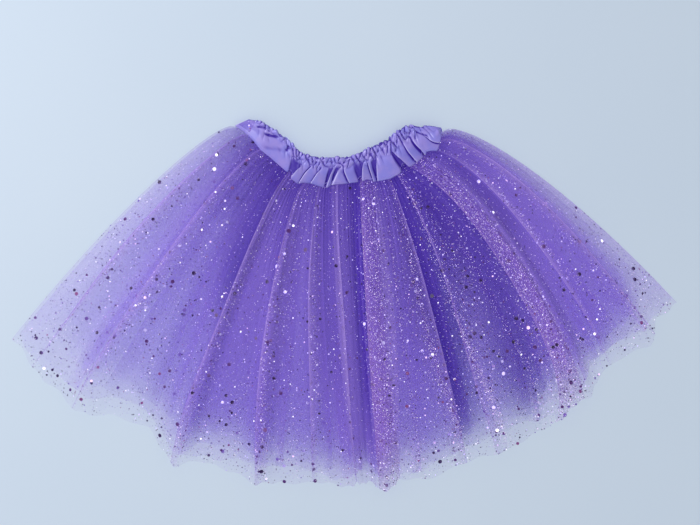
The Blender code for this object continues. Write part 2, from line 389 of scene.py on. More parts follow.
def half_height(half, swayed, share, tucked):
    """Height above the floor in millimetres: layers, folds, puff and ripples, and the tucks on top."""
    side = smooth(np.minimum(swayed, SPANS - swayed) / 1.2)
    reach = smooth((share - 0.84) / 0.16)
    base = half.level * STEP_UP * mix(0.3, 1.0, side) * mix(1.0, 0.35, reach)
    rise = mix(FOLD_AT_SEAM, 1.0, smooth(share / FOLD_RISE))
    puff = PUFF * np.sin(math.pi * swayed / SPANS) ** 0.5
    puff = puff * np.sin(math.pi * np.clip(share, 0.0, 1.0)) ** 0.8
    lift = between_guides("fold", swayed, soft=True) * rise + puff
    pinch = mix(0.5, 1.0, smooth(share / 0.08))
    height = base + half.share * lift + half.ripple * (1.2 + gathers(swayed, share, half.seed)) * side
    return NET_CLEARANCE + (height + tucked) * pinch


def half_points(half, tucks):
    """The points of one half as rows down and columns across, with its cloth map and its values."""
    columns = Columns(half.first, half.last, half.per_guide, tucks)
    place, share, down = half_grid(half, columns)
    swayed = np.clip(place + sway_of(place, share), half.first, half.last)
    plan = skirt_plan(swayed, share)
    across, _ = tangent(swayed, share, 0.4)
    _, spacing = tangent(swayed, share, 1.5)

    tuck_rise = mix(0.35, 1.0, smooth(share / 0.3))
    plan = plan + across * (columns.push[None, :] * tuck_rise)[..., None]
    height = half_height(half, swayed, share, columns.level[None, :] * tuck_rise)
    over = smooth(-share / 0.02) * (start_share(half, place) < -0.03)
    height = mix(height, mix(LAP_OVER - LAP_FALL, LAP_OVER, smooth(swayed / 2.0)), over)
    points = np.concatenate([plan, height[..., None]], -1) * MM

    cloth_u = (columns_run(columns) * CLOTH_PER_GUIDE * MM)[None, :] + 0.0 * share
    cloth = np.stack([cloth_u, share * SKIRT_LENGTH], -1)
    fullness = np.clip(CLOTH_PER_GUIDE / spacing, 0.6, half.most) * slope_factor(points)
    return points, cloth, half_values(half, columns, swayed, share, down, spacing, fullness)


def half_values(half, columns, swayed, share, down, spacing, fullness):
    """What the materials and the flakes read: how much the net covers, its painted shade and its sparkle.
    """
    glitter = half.node.startswith("glitter")
    if not glitter:
        fullness = fullness * crowding(swayed, share)
    cover = 1.0 - (1.0 - half.net) ** fullness
    inset = np.minimum(swayed - half.first, half.last - swayed)
    free_edge = 0.75 * np.exp(-((columns.edge[None, :] * spacing / EDGE_LINE) ** 2))
    rim = np.maximum(columns.rim[None, :], free_edge)
    rim = rim * mix(0.5, 1.0, smooth(share / 0.2)) * mix(0.1, 1.0, smooth((1.0 - down) / 0.35))
    if glitter:
        cover = cover * mix(0.62, 1.0, smooth((1.0 - down) / 0.08))
        rim = np.maximum(rim, 0.5 * np.exp(-((inset / 0.05) ** 2)))
    else:
        cover = cover * mix(0.35, 1.0, smooth((1.0 - down) / 0.12)) * mix(0.2, 1.0, smooth(inset / 1.3))
    cover = cover * (1.0 - columns.thin[None, :])
    cover = 1.0 - (1.0 - cover) * (1.0 - half.rim * rim)
    sparkle = between_guides("glitter", swayed)
    dusty = np.maximum(np.sin(5.3 * swayed + 1.5 * np.sin(4.0 * share) + half.seed), 0.0) ** 4
    flap = smooth((sparkle - 0.6) / 0.3)
    cover = cover * (1.0 - FLAP_FADE * flap * smooth((down - 0.80) / 0.20))
    sparkle = sparkle * mix(0.70 + 1.4 * dusty, 1.0, flap)
    # Painted shade: deeper near the waist, in the middle and in deep folds; the rim along fold edges
    # paints a highlight, and the flaps get less shade towards the hem
    shade = 1.0 - (1.0 - open_shade(swayed, share)) * (1.0 - fold_shade(swayed, share))
    shade = shade * (1.0 - rim) * (1.0 - 0.55 * flap * smooth((share - 0.3) / 0.5))
    even = 0.5 * mix(0.4, 1.0, smooth(share / 0.5))
    return {"cover": cover, "shade": shade, "sparkle": sparkle, "even": even}


def columns_run(columns):
    """How far along the cloth each column lies, in guides, counting the tucks' passes."""
    steps = np.abs(np.diff(columns.place, prepend=columns.place[0]))
    return np.cumsum(steps)


def slope_factor(points):
    """How much more net a steep stretch puts in the way than a level one."""
    across = np.gradient(points, axis=1)
    down = np.gradient(points, axis=0)
    normal = np.cross(down, across)
    length = np.linalg.norm(normal, axis=-1) + 1e-12
    return np.clip(length / (np.abs(normal[..., 2]) + 1e-12), 1.0, 2.2)


def grid_mesh(name, points, cloth, values):
    """A sheet from a grid of points, rows down and columns across, facing +Z where it lies level."""
    rows, columns = points.shape[:2]
    index = np.arange(rows * columns).reshape(rows, columns)
    corners = (index[:-1, :-1], index[1:, :-1], index[1:, 1:], index[:-1, 1:])
    faces = np.stack(corners, -1).reshape(-1, 4)
    mesh = bpy.data.meshes.new(name)
    mesh.vertices.add(rows * columns)
    mesh.vertices.foreach_set("co", points.reshape(-1).astype(np.float32))
    mesh.loops.add(faces.size)
    mesh.loops.foreach_set("vertex_index", faces.reshape(-1).astype(np.int32))
    mesh.polygons.add(len(faces))
    mesh.polygons.foreach_set("loop_start", np.arange(0, faces.size, 4, dtype=np.int32))
    mesh.update(calc_edges=True)
    mesh.polygons.foreach_set("use_smooth", np.ones(len(faces), bool))
    layer = mesh.uv_layers.new(name="cloth")
    layer.data.foreach_set("uv", cloth.reshape(-1, 2)[faces.reshape(-1)].reshape(-1).astype(np.float32))
    for title, value in values.items():
        attribute = mesh.attributes.new(title, "FLOAT", "POINT")
        attribute.data.foreach_set("value", value.reshape(-1).astype(np.float32))
    mesh.validate()
    piece = bpy.data.objects.new(name, mesh)
    bpy.context.scene.collection.objects.link(piece)
    return piece


class Term:
    """A shader value that can be written in a sum."""

    def __init__(self, finish, socket):
        self.finish = finish
        self.socket = socket

    def math(self, operation, *others):
        inputs = dict(enumerate((self, *others)))
        return self.finish.value("ShaderNodeMath", {"operation": operation}, inputs)

    def __add__(self, other):
        return self.math("ADD", other)

    def __radd__(self, other):
        return self.math("ADD", other)

    def __sub__(self, other):
        return self.math("SUBTRACT", other)

    def __rsub__(self, other):
        return self.finish.value("ShaderNodeMath", {"operation": "SUBTRACT"}, {0: other, 1: self})

    def __mul__(self, other):
        return self.math("MULTIPLY", other)

    def __rmul__(self, other):
        return self.math("MULTIPLY", other)

    def __lt__(self, other):
        return self.math("LESS_THAN", other)

    def __gt__(self, other):
        return self.math("GREATER_THAN", other)

    def step(self, low, high):
        """0 below low, 1 above high and smooth between."""
        settings = {"interpolation_type": "SMOOTHSTEP"}
        inputs = {"Value": self, "From Min": low, "From Max": high}
        return self.finish.value("ShaderNodeMapRange", settings, inputs)

    def clamped(self):
        return self.finish.value("ShaderNodeClamp", {}, {"Value": self})


class Finish:
    """One material: its nodes are made by one method, and its sockets are fed by another."""

    def __init__(self, name, **constants):
        self.material = bpy.data.materials.new(name)
        self.material.use_nodes = True
        self.tree = self.material.node_tree
        self.shader = self.tree.nodes["Principled BSDF"]
        for title, value in constants.items():
            self.shader.inputs[title.replace("_", " ")].default_value = value

    def node(self, kind, settings, inputs):
        made = self.tree.nodes.new(kind)
        for title, value in settings.items():
            if title == "stops":
                self.set_stops(made.color_ramp, value)
            else:
                setattr(made, title, value)
        for title, value in inputs.items():
            self.feed(made.inputs[title], value)
        return made

    def set_stops(self, ramp, stops):
        ramp.interpolation = "CONSTANT"
        while len(ramp.elements) < len(stops):
            ramp.elements.new(1.0)
        for element, (place, colour) in zip(ramp.elements, stops):
            element.position = place
            element.color = (*colour, 1.0)

    def feed(self, socket, value):
        if isinstance(value, Term):
            value = value.socket
        if isinstance(value, bpy.types.NodeSocket):
            self.tree.links.new(value, socket)
        else:
            socket.default_value = value

    def value(self, kind, settings, inputs, output=0):
        return Term(self, self.node(kind, settings, inputs).outputs[output])

    def blend(self, factor, first, second):
        first, second = ((*c, 1.0) if isinstance(c, tuple) else c for c in (first, second))
        made = self.node("ShaderNodeMix", {"data_type": "RGBA"}, {0: factor, 6: first, 7: second})
        return made.outputs[2]

    def attribute(self, name):
        return self.value("ShaderNodeAttribute", {"attribute_name": name}, {}, "Fac")

    def coordinates(self):
        return self.node("ShaderNodeTexCoord", {}, {}).outputs["Object"]

    def cloth_map(self, scale_u, scale_v):
        """The cloth's own map, in metres, stretched for a pattern."""
        flat = self.node("ShaderNodeUVMap", {"uv_map": "cloth"}, {}).outputs[0]
        scale = (scale_u, scale_v, 1.0)
        return self.node("ShaderNodeMapping", {}, {"Vector": flat, "Scale": scale}).outputs[0]

    def noise(self, vector, scale):
        return self.value("ShaderNodeTexNoise", {}, {"Vector": vector, "Scale": scale, "Detail": 2.0})

    def out(self, **inputs):
        for title, value in inputs.items():
            self.feed(self.shader.inputs[title.replace("_", " ")], value)
        return self.material


# From one hole of the net to the next, in metres
MESH_SIZE = 0.0012


def net_cover(finish, cover, streak):
    """Alpha of the net: how much it covers, in threads that get denser where it bunches."""
    settings = {"feature": "DISTANCE_TO_EDGE"}
    holes = finish.cloth_map(1.0 / MESH_SIZE, 1.0 / MESH_SIZE)
    inputs = {"Vector": holes, "Scale": 1.0, "Randomness": 0.3}
    edge = finish.value("ShaderNodeTexVoronoi", settings, inputs)
    thread = 1.0 - edge.step(0.05, 0.18)
    return (cover * (0.70 + 0.5 * streak) * (0.80 + 0.55 * thread)).clamped()


# Net in the open, and with painted shade in deep folds
PLAIN_LIGHT = (0.24, 0.135, 0.70)
PLAIN_SHADED = (0.042, 0.010, 0.33)


def plain_net_material():
    """Soft nylon net: light in the open, and a deep violet of painted shade where it lies in folds."""
    sheen = {"Sheen_Weight": 0.15, "Sheen_Roughness": 0.4}
    finish = Finish("plain_net", Roughness=0.7, Specular_IOR_Level=0.2, **sheen)
    streak = finish.noise(finish.cloth_map(150.0, 5.0), 1.0)
    shade = (finish.attribute("shade") + 0.5 * (streak - 0.5)).clamped()
    colour = finish.blend(shade, PLAIN_LIGHT, PLAIN_SHADED)
    return finish.out(Base_Color=colour, Alpha=net_cover(finish, finish.attribute("cover"), streak))


# Glitter net in the open, where it is thick with dust, and with painted shade in deep folds
NET_LIGHT = (0.45, 0.30, 0.76)
NET_PINK = (0.32, 0.165, 0.58)
NET_SHADED = (0.092, 0.036, 0.43)
# The dust: the size of a grain's cell in metres and its colours, from bright painted glints through the
# dust's own lilac and violet to dark painted reflections
DUST_SIZE = 0.0009
DUST_STOPS = [
    (0.00, (0.86, 0.74, 0.94)),
    (0.28, (0.70, 0.46, 0.84)),
    (0.45, (0.42, 0.30, 0.86)),
    (0.76, (0.10, 0.04, 0.30)),
]


def glitter_net_material():
    """Paler net with glitter dust: pinkish where it is thick with dust, with painted shade in folds; its
    brightest grains emit light as painted glints.
    """
    sheen = {"Sheen_Weight": 0.15, "Sheen_Roughness": 0.4}
    finish = Finish("glitter_net", Roughness=0.6, Specular_IOR_Level=0.3, **sheen)
    streak = finish.noise(finish.cloth_map(190.0, 4.0), 1.0)
    sparkle = finish.attribute("sparkle")
    shade = (finish.attribute("shade") + 0.3 * (streak - 0.5)).clamped()
    open_colour = finish.blend(sparkle.step(0.7, 1.0), NET_LIGHT, NET_PINK)
    colour = finish.blend(shade, open_colour, NET_SHADED)
    inputs = {"Vector": finish.coordinates(), "Scale": 1.0 / DUST_SIZE}
    cells = finish.node("ShaderNodeTexVoronoi", {}, inputs)
    parts = finish.node("ShaderNodeSeparateColor", {}, {0: cells.outputs["Color"]})
    pick = Term(finish, parts.outputs[0])
    tone = Term(finish, parts.outputs[1])
    near = Term(finish, cells.outputs["Distance"]) < 0.34
    speck = near * (pick < (0.05 + 0.32 * sparkle.math("POWER", 1.6)))
    tone = tone.math("POWER", 1.6 - 0.9 * sparkle)
    dust_colour = finish.node("ShaderNodeValToRGB", {"stops": DUST_STOPS}, {0: 1.0 - tone}).outputs[0]
    colour = finish.blend(speck, colour, dust_colour)
    # Painted glints: the brightest dust grains emit their own colour at a set strength
    painted_glow = finish.blend(speck * (tone > 0.76), (0.0, 0.0, 0.0), (0.62, 0.50, 0.72))
    finish.shader.inputs["Emission Strength"].default_value = 0.45
    alpha = net_cover(finish, finish.attribute("cover"), streak)
    return finish.out(Base_Color=colour, Alpha=alpha.math("MAXIMUM", speck * 0.85), Emission_Color=painted_glow)


# Colours of the foil flakes by their tone, from 0 to 1: bright ones stand for painted glints, dark ones
# for painted reflections of the dim room
BRIGHT_STOPS = [
    (0.00, (0.95, 0.90, 1.00)),
    (0.26, (0.80, 0.55, 0.88)),
    (0.42, (0.60, 0.50, 0.94)),
]
DARK_STOPS = [
    (0.00, (0.022, 0.006, 0.06)),
    (0.48, (0.08, 0.022, 0.15)),
    (0.72, (0.16, 0.09, 0.42)),
    (0.90, (0.24, 0.06, 0.22)),
]


def flake_material(name, stops, painted_glow):
    """Cut foil glitter with painted light: flakes with tone below 0.8 emit their colour as painted
    glints, and the dark kind is painted dark as a reflection of the dim room.
    """
    finish = Finish(name, Roughness=0.4, Specular_IOR_Level=0.3, Emission_Strength=painted_glow)
    tone = finish.attribute("tone")
    colour = finish.node("ShaderNodeValToRGB", {"stops": stops}, {0: tone}).outputs[0]
    painted_shine = finish.blend(tone < 0.8, (0.0, 0.0, 0.0), colour)
    return finish.out(Base_Color=colour, Emission_Color=painted_shine)


# Satin in the open, with painted shade in deep gaps, and with a painted highlight on the pleats' bright
# edges
SATIN_BLUE = (0.275, 0.245, 0.75)
SATIN_LILAC = (0.35, 0.275, 0.74)
SATIN_SHADED = (0.055, 0.018, 0.36)
SATIN_PAINTED_HIGHLIGHT = (0.60, 0.53, 0.92)


def satin_material():
    """Polyester satin: a smooth sheen, painted shade deep between the pleats, a painted highlight on the
    pleats' edges, and a faint thread line.
    """
    sheen = {"Sheen_Weight": 0.3, "Sheen_Roughness": 0.3}
    finish = Finish("casing_satin", Roughness=0.36, Specular_IOR_Level=0.55, **sheen)
    cloud = finish.noise(finish.coordinates(), 90.0)
    open_colour = finish.blend(cloud.step(0.35, 0.65), SATIN_BLUE, SATIN_LILAC)
    with_painted_highlight = finish.blend(finish.attribute("rim") * 0.85, open_colour, SATIN_PAINTED_HIGHLIGHT)
    colour = finish.blend(finish.attribute("shade").clamped(), with_painted_highlight, SATIN_SHADED)
    thread = finish.noise(finish.cloth_map(2600.0, 500.0), 1.0)
    bump = finish.node("ShaderNodeBump", {}, {"Strength": 0.12, "Distance": 0.0002, "Height": thread})
    return finish.out(Base_Color=colour, Normal=bump.outputs[0])


def thread_material():
    finish = Finish("sewing_thread", Roughness=0.6)
    twist = finish.noise(finish.coordinates(), 3000.0)
    colour = finish.blend(twist.step(0.3, 0.7), (0.26, 0.19, 0.60), (0.40, 0.32, 0.78))
    return finish.out(Base_Color=colour)


class Growth:
    """A Geometry Nodes tree with named inputs, made on a source object and turned into a plain mesh."""

    def __init__(self, name):
        self.tree = bpy.data.node_groups.new(name, "GeometryNodeTree")
        self.tree.interface.new_socket("Source", in_out="INPUT", socket_type="NodeSocketGeometry")
        self.tree.interface.new_socket("Result", in_out="OUTPUT", socket_type="NodeSocketGeometry")
        self.values = {}

    def size(self, name, kind, value):
        socket = self.tree.interface.new_socket(name, in_out="INPUT", socket_type=kind)
        self.values[socket.identifier] = value

    def start(self):
        self.inputs = self.tree.nodes.new("NodeGroupInput").outputs
        self.end = self.tree.nodes.new("NodeGroupOutput")
        return self.inputs

    def node(self, kind, settings, inputs):
        made = self.tree.nodes.new(kind)
        for title, value in settings.items():
            setattr(made, title, value)
        for title, value in inputs.items():
            if isinstance(value, bpy.types.NodeSocket):
                self.tree.links.new(value, made.inputs[title])
            else:
                made.inputs[title].default_value = value
        return made

    def finish(self, geometry, material, source, name):
        real = self.node("GeometryNodeRealizeInstances", {}, {0: geometry})
        inputs = {"Geometry": real.outputs[0], "Material": material}
        coloured = self.node("GeometryNodeSetMaterial", {}, inputs)
        self.tree.links.new(coloured.outputs[0], self.end.inputs[0])
        modifier = source.modifiers.new(name, "NODES")
        modifier.node_group = self.tree
        for identifier, value in self.values.items():
            modifier[identifier] = value
        graph = bpy.context.evaluated_depsgraph_get()
        mesh = bpy.data.meshes.new_from_object(source.evaluated_get(graph))
        mesh.name = name
        source.modifiers.remove(modifier)
        piece = bpy.data.objects.new(name, mesh)
        bpy.context.scene.collection.objects.link(piece)
        return piece


# One row for each kind of flake: how many lie on a square metre, where they get denser, their radii in
# metres and their corners.
Flakes = namedtuple("Flakes", "title per_area densest smallest largest sides tilt bright seed")
FLAKES = [
    Flakes("bright_discs", 2700.0, "even", 0.0005, 0.0018, 8, 0.25, True, 1),
    Flakes("dark_discs", 9400.0, "even", 0.0005, 0.0020, 8, 0.25, False, 2),
    Flakes("bright_specks", 24000.0, "sparkle", 0.00025, 0.00075, 5, 0.5, True, 3),
    Flakes("dark_specks", 60000.0, "even", 0.00030, 0.00075, 5, 0.5, False, 4),
]


def scatter_flakes(source, name, kind, thinned, seed, material):
    """Small cut flakes that lie on a sheet at random, some kinds more where the sheet sparkles."""
    growth = Growth(name)
    growth.size("Per square metre", "NodeSocketFloat", kind.per_area * thinned)
    growth.size("Smallest radius", "NodeSocketFloat", kind.smallest)
    growth.size("Largest radius", "NodeSocketFloat", kind.largest)
    growth.size("Foil thickness", "NodeSocketFloat", 0.00006)
    growth.size("Tilt", "NodeSocketFloat", kind.tilt)
    growth.size("Seed", "NodeSocketInt", seed)
    given = growth.start()
    node = growth.node
    sparkle = node("GeometryNodeInputNamedAttribute", {"data_type": "FLOAT"}, {"Name": kind.densest})
    density = node(
        "ShaderNodeMath", {"operation": "MULTIPLY"},
        {0: sparkle.outputs["Attribute"], 1: given["Per square metre"]},
    )
    points = node(
        "GeometryNodeDistributePointsOnFaces", {"distribute_method": "RANDOM"},
        {"Mesh": given["Source"], "Density": density.outputs[0], "Seed": given["Seed"]},
    )
    draw = node(
        "FunctionNodeRandomValue", {"data_type": "FLOAT"},
        {2: 0.0, 3: 1.0, "Seed": given["Seed"]},
    )
    mostly_small = node("ShaderNodeMath", {"operation": "POWER"}, {0: draw.outputs[1], 1: 3.0})
    radius = node(
        "ShaderNodeMapRange", {},
        {
            "Value": mostly_small.outputs[0],
            "To Min": given["Smallest radius"],
            "To Max": given["Largest radius"],
        },
    )
    scale = node(
        "ShaderNodeCombineXYZ", {},
        {0: radius.outputs[0], 1: radius.outputs[0], 2: given["Foil thickness"]},
    )
    lowest = node("ShaderNodeMath", {"operation": "MULTIPLY"}, {0: given["Tilt"], 1: -1.0})
    low = node("ShaderNodeCombineXYZ", {}, {0: lowest.outputs[0], 1: lowest.outputs[0], 2: -math.pi})
    high = node("ShaderNodeCombineXYZ", {}, {0: given["Tilt"], 1: given["Tilt"], 2: math.pi})
    lean = node(
        "FunctionNodeRandomValue", {"data_type": "FLOAT_VECTOR"},
        {0: low.outputs[0], 1: high.outputs[0], "Seed": given["Seed"]},
    )
    turned = node("FunctionNodeEulerToRotation", {}, {0: lean.outputs[0]})
    rotation = node(
        "FunctionNodeRotateRotation", {"rotation_space": "LOCAL"},
        {0: points.outputs["Rotation"], 1: turned.outputs[0]},
    )
    flake = node(
        "GeometryNodeMeshCylinder", {"fill_type": "NGON"},
        {"Vertices": kind.sides, "Radius": 1.0, "Depth": 1.0},
    )
    placed = node(
        "GeometryNodeInstanceOnPoints", {},
        {
            "Points": points.outputs["Points"],
            "Instance": flake.outputs["Mesh"],
            "Rotation": rotation.outputs[0],
            "Scale": scale.outputs[0],
        },
    )
    tone = node("FunctionNodeRandomValue", {"data_type": "FLOAT"}, {2: 0.0, 3: 1.0, "Seed": seed + 5})
    toned = node(
        "GeometryNodeStoreNamedAttribute", {"data_type": "FLOAT", "domain": "INSTANCE"},
        {"Geometry": placed.outputs[0], "Name": "tone", "Value": tone.outputs[1]},
    )
    return growth.finish(toned.outputs[0], material, source, name)


# One row for each pleat of the casing: its edges as guide places, at the lower edge and halfway up, and
# its height in millimetres.
Pleat = namedtuple("Pleat", "left right high_left high_right height")
CASING_PLEATS = [
    Pleat(-0.20, 6.10, -0.20, 6.30, 2.6),
    Pleat(6.80, 8.20, 8.00, 9.30, 3.8),
    Pleat(8.25, 9.90, 9.40, 11.0, 3.4),
    Pleat(9.95, 11.9, 11.0, 12.2, 4.2),
    Pleat(12.1, 12.9, 12.8, 13.2, 3.2),
    Pleat(12.95, 14.6, 13.5, 14.1, 3.4),
    Pleat(14.6, 15.9, 14.1, 15.5, 4.0),
    Pleat(16.3, 17.8, 16.7, 17.5, 4.4),
    Pleat(17.85, 18.4, 17.5, 18.1, 3.6),
    Pleat(18.45, 21.7, 18.8, 21.0, 3.8),
    Pleat(22.8, 24.0, 21.3, 23.1, 4.6),
    Pleat(24.0, 25.0, 23.1, 24.3, 4.2),
    Pleat(25.2, 28.0, 24.4, 26.7, 3.6),
    Pleat(28.0, 30.3, 26.7, 30.3, 3.4),
]
ELASTIC_SHARE = 0.80
SMOOTH_SHARE = 0.52
CASING_TOP = 8.0


def pleat_edges(pleat, share):
    up = np.clip(share / 0.5, 0.0, 1.2)
    return mix(pleat.left, pleat.high_left, up), mix(pleat.right, pleat.high_right, up)


def pleat_shape(place, share):
    """The pleats' heights, painted shade and rims. Each stands up at its left edge and falls to the
    right, painted darker towards its right edge, with a painted highlight on its rim near the left edge.
    """
    height, shade, rim = 0.0 * place, 0.0 * place, 0.0 * place
    for pleat in CASING_PLEATS:
        left, right = pleat_edges(pleat, share)
        part = (place - left) / (right - left)
        width = (right - left) * 7.0
        inside = (part >= 0.0) & (part <= 1.0)
        part = np.clip(part, 0.0, 1.0)
        front = np.sqrt(1.0 - (1.0 - np.clip(part * width / 1.6, 0.0, 1.0)) ** 2)
        back = smooth((1.0 - part) * width / 1.0)
        guides = pleat.right - pleat.left
        fall = 1.0 - (0.40 if 2.5 < guides < 5.0 else 0.75) * part ** 0.9
        height = np.where(inside, pleat.height * front * fall * mix(0.4, 1.0, back), height)
        fade = 0.36 * float(smooth((4.5 - guides) / 3.0))
        shade = np.where(inside, 0.06 + fade * part ** 2 + 0.35 * (1.0 - back), shade)
        rim = np.where(inside, np.exp(-((part * width - 0.9) / 0.8) ** 2), rim)
    return height, shade, rim


def slit_depth(place, share):
    """1 in the gaps between pleats and 0 on them; some gaps are nearly closed."""
    gap = 0.0 * place
    for pleat, following in zip(CASING_PLEATS[:-1], CASING_PLEATS[1:]):
        _, start = pleat_edges(pleat, share)
        end, _ = pleat_edges(following, share)
        half_width = np.maximum((end - start) / 2, 0.02) + 0.09
        depth = 0.35 + 0.65 * smooth((end - start) / 0.3)
        gap = np.maximum(gap, depth * np.exp(-((place - (start + end) / 2) / half_width) ** 4))
    return gap


def knots(place, share, seed):
    """Rounded crumples between two families of slanting creases, uneven in width and size."""
    warp = 0.33 * np.sin(1.9 * place + seed) + 0.18 * np.sin(4.3 * place + 2.0 * seed)
    up = share - ELASTIC_SHARE
    rising = np.abs(np.sin(math.pi * (0.80 * place + warp + 1.9 * up)))
    falling = np.abs(np.sin(math.pi * (0.97 * place - 0.8 * warp - 2.6 * up + 0.3 * seed)))
    humps = np.minimum(rising, falling * 1.15 + 0.12) ** 0.7
    size = 0.70 + 0.30 * np.sin(2.7 * place + 9.0 * share + seed)
    return humps * size * (1.0 + 0.35 * np.exp(-((place - 23.5) / 1.5) ** 2))


# One row for each long crease of the casing: its two ends as guide place and share, its depth and its
# half width in millimetres.
Crease = namedtuple("Crease", "place share end_place end_share depth width")
CASING_CREASES = [
    Crease(1.55, 0.66, 2.70, 0.86, 1.5, 1.3),
    Crease(2.70, 0.60, 4.10, 0.82, 1.6, 1.4),
    Crease(3.10, 0.14, 5.40, 0.62, 0.5, 2.2),
    Crease(5.40, 0.60, 5.60, 0.84, 1.5, 1.1),
    Crease(25.1, 0.80, 27.0, 0.58, 1.0, 1.2),
]


def crease_depth(place, share):
    """How deep the long creases are, in millimetres, along straight lines with soft ends."""
    deep = 0.0 * place
    across, along = 8.5, 28.0
    for crease in CASING_CREASES:
        step = ((crease.end_place - crease.place) * across, (crease.end_share - crease.share) * along)
        length = math.hypot(*step)
        away = ((place - crease.place) * across, (share - crease.share) * along)
        run = (away[0] * step[0] + away[1] * step[1]) / length ** 2
        off = (away[0] * step[1] - away[1] * step[0]) / length
        soft_ends = smooth((run + 0.1) / 0.3) * smooth((1.1 - run) / 0.3)
        deep = deep + crease.depth * soft_ends * np.exp(-((off / crease.width) ** 2))
    return deep


def crumple_start(place):
    """The share where the casing starts to crumple: higher up at the left, and nowhere at the right."""
    left = 0.20 * (1.0 - smooth((place - 3.8) / 2.4))
    right = 0.80 * smooth((place - 24.9) / 1.3)
    return SMOOTH_SHARE + left + right + 0.06 * np.sin(1.7 * place)


def casing_points(front):
    """The casing's outer face, from under its lower edge up over the elastic to the frill."""
    per_guide, rows = (28, 60) if front else (10, 18)
    seed = 1.0 if front else 4.0
    place = np.linspace(0.0, SPANS, SPANS * per_guide + 1)[None, :]
    share = np.linspace(0.0, 1.0, rows)[:, None]
    place, share = place + 0.0 * share, share + 0.0 * place
    edge = smooth(np.minimum(place, SPANS - place) / 0.6)
    slit = slit_depth(place, share) * (place > 1.0)
    body = 1.0 - smooth((share - 0.32) / 0.36)
    elastic = ELASTIC_SHARE + 0.03 * np.sin(2.2 * place) + 0.02 * np.sin(5.1 * place)
    crumpled = smooth((share - crumple_start(place)) / 0.22)
    rounded = np.sqrt(np.clip(1.0 - ((share - 0.80) / 0.215) ** 2, 0.0, 1.0))
    rounded = np.where(share < 0.80, 1.0, rounded)
    drawn = 0.4 + 0.6 * np.sin(1.1 * place + 0.7) ** 2
    pinch = drawn * np.exp(-((share - elastic) / 0.035) ** 2)

    pleated, pleat_shade, rim = pleat_shape(place, share)
    height = pleated * mix(0.25, 1.0, body) * (1.0 - crumpled)
    height = height + 3.6 * knots(place, share, seed) * crumpled * rounded * edge
    creases = np.abs(np.sin(math.pi * (0.8 * place + 0.5 * np.sin(2.3 * place) + 1.6 * share)))
    height = height + 0.5 * creases * smooth((share - 0.25) / 0.3) * edge
    creased = crease_depth(place, share) * edge
    height = height - 0.9 * pinch * crumpled - 0.5 * np.exp(-share / 0.025) - creased
    height = height + 0.8 * np.sin(math.pi * np.clip(share / ELASTIC_SHARE, 0.0, 1.0))

    index = np.clip(np.floor(place).astype(int), 0, SPANS - 1)
    part = (place - index)[..., None]
    seam = mix(plan_of("seam", index), plan_of("seam", index + 1), part)
    top = mix(plan_of("top", index), plan_of("top", index + 1), part)
    scallop = 0.09 * (knots(place, share, seed) - 0.7) * smooth((share - elastic) / 0.08)
    notch = 0.13 * slit * (1.0 - share) ** 2
    plan = mix(seam, top, (share + scallop + notch)[..., None])
    across, _ = tangent(place, 0.0 * place, 0.4)
    lean = -0.5 * pleated * edge * body
    plan = plan + across * lean[..., None]
    end = smooth(np.minimum(place / 3.4, (SPANS - place) / 1.0))
    if front:
        level = mix(5.6, CASING_TOP, end) + 0.6 * smooth(share) + height * mix(0.5, 1.0, end)
    else:
        level = np.clip(2.2 - 0.5 * height, 0.35, 4.0)
    points = np.concatenate([plan, level[..., None]], -1) * MM
    cloth = np.stack([place * 9.0 * MM, share * 28.0 * MM], -1)
    # Painted shade in hollows, on the pleats' right sides, in long creases and in the gaps between
    # pleats; rim carries the pleats' painted highlight
    shade = 1.7 * hollows(height, per_guide) * smooth(share / 0.08) + pleat_shade * body + 0.30 * creased
    shade = shade + 0.95 * slit * (1.0 - smooth((share - 0.50) / 0.25))
    return points, cloth, {"shade": shade, "rim": rim * body}


def turned_down(sheet, axis, last, low, steps):
    """Turns a sheet's side down. Each step goes some way out and part of the way to a lower height."""
    points, cloth, values = sheet
    titles = list(values)
    grids = [np.moveaxis(grid, axis, 0) for grid in (points, cloth, *values.values())]
    if not last:
        grids = [grid[::-1] for grid in grids]
    points, cloth = grids[0], grids[1]
    away = points[-1] - points[-4]
    away[:, 2] = 0.0
    away = away / np.linalg.norm(away, axis=-1, keepdims=True)
    added = [[] for grid in grids]
    for number, (out, drop) in enumerate(steps, 1):
        row = points[-1] + away * out
        row[:, 2] = mix(points[-1][:, 2], low, drop)
        added[0].append(row)
        added[1].append(cloth[-1] + number * (cloth[-1] - cloth[-2]))
        for index, title in enumerate(titles, 2):
            # Painted shade: each turned row is a step darker, and carries no rim highlight
            added[index].append((grids[index][-1] + 0.30 * number) * (title == "shade"))
    grids = [np.concatenate([grid, np.array(extra)]) for grid, extra in zip(grids, added)]
    if not last:
        grids = [grid[::-1] for grid in grids]
    grids = [np.moveaxis(grid, 0, axis) for grid in grids]
    return grids[0], grids[1], dict(zip(titles, grids[2:]))


def casing_folded(sheet):
    """The casing's lower edge turns under, and its top edge and both ends turn down to the back half."""
    place = np.linspace(0.0, SPANS, sheet[0].shape[1])
    end = smooth(np.minimum(place / 3.4, (SPANS - place) / 1.0))
    under = mix(2.2, 4.6, end) * MM
    sheet = turned_down(sheet, 0, False, under, ((0.0001, 0.12), (-0.0010, 0.30), (-0.0035, 1.0)))
    sheet = turned_down(sheet, 0, True, 2.2 * MM, ((0.0004, 0.25), (0.0004, 0.6), (-0.0006, 1.0)))
    for last in (False, True):
        sheet = turned_down(sheet, 1, last, 2.2 * MM, ((0.0005, 0.3), (0.0004, 0.7), (-0.0005, 1.0)))
    return sheet


